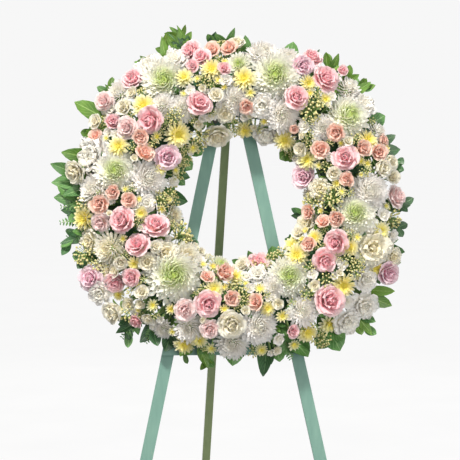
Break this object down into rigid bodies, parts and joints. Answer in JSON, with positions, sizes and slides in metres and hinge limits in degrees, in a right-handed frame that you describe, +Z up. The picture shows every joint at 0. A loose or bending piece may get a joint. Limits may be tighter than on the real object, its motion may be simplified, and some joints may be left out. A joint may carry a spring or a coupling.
{
  "type": "funeral wreath",
  "caption": "Ring-shaped funeral wreath of mixed pink, white and yellow flowers with leaves, planted in a foam ring and hung on a folding wooden tripod easel.",
  "frame": {"origin": "on the floor, under the middle of the whole piece's bounding box", "axes": "+Z up, -Y towards the mourner who faces the flowers, +X to that viewer's right"},
  "size_m": [0.6432, 0.5966, 1.2507],
  "materials": {
    "easel_paint": "satin",
    "rear_leg_paint": "matte",
    "steel": "satin",
    "tray_plastic": "matte",
    "floral_foam": "matte",
    "pink_petals": "matte",
    "white_petals": "matte",
    "yellow_petals": "matte",
    "leaves": "satin"
  },
  "bodies": {
    "easel": {"front_leg_left": "easel_paint", "front_leg_right": "easel_paint", "crossbar": "easel_paint", "head_board": "easel_paint", "ring_nail_left": "steel", "ring_nail_right": "steel", "crossbar_screw_left": "steel", "crossbar_screw_right": "steel", "head_screw_left": "steel", "head_screw_right": "steel", "pivot_bracket": "steel", "bracket_screw": "steel", "pivot_bolt": "steel", "pivot_nut": "steel", "ring_tray": "tray_plastic", "foam_ring": "floral_foam", "pink_roses_01": "pink_petals", "pink_roses_02": "pink_petals", "pink_roses_03": "pink_petals", "pink_roses_04": "pink_petals", "pink_roses_05": "pink_petals", "pink_roses_06": "pink_petals", "pink_roses_07": "pink_petals", "pink_roses_08": "pink_petals", "pink_roses_09": "pink_petals", "pink_roses_10": "pink_petals", "pink_roses_11": "pink_petals", "pink_roses_12": "pink_petals", "pink_roses_13": "pink_petals", "white_blooms_01": "white_petals", "white_blooms_02": "white_petals", "white_blooms_03": "white_petals", "white_blooms_04": "white_petals", "white_blooms_05": "white_petals", "white_blooms_06": "white_petals", "white_blooms_07": "white_petals", "white_blooms_08": "white_petals", "white_blooms_09": "white_petals", "white_blooms_10": "white_petals", "white_blooms_11": "white_petals", "white_blooms_12": "white_petals", "yellow_sprays_01": "yellow_petals", "yellow_sprays_02": "yellow_petals", "yellow_sprays_03": "yellow_petals", "yellow_sprays_04": "yellow_petals", "yellow_sprays_05": "yellow_petals", "yellow_sprays_06": "yellow_petals", "yellow_sprays_07": "yellow_petals", "yellow_sprays_08": "yellow_petals", "outer_leaves_1": "leaves", "outer_leaves_2": "leaves", "outer_leaves_3": "leaves", "outer_leaves_4": "leaves", "outer_leaves_5": "leaves", "inner_leaves_1": "leaves", "inner_leaves_2": "leaves", "inner_leaves_3": "leaves", "inner_leaves_4": "leaves", "inner_leaves_5": "leaves"},
    "rear_leg": {"rear_leg": "rear_leg_paint"}
  },
  "joints": [
    {"name": "rear_leg_fold", "type": "hinge", "parent": "easel", "child": "rear_leg", "pos_m": [-0.00148, -0.06791, 1.15437], "axis": [0.9988, -0.0076, -0.0482], "range_deg": [-26, 0]}
  ]
}
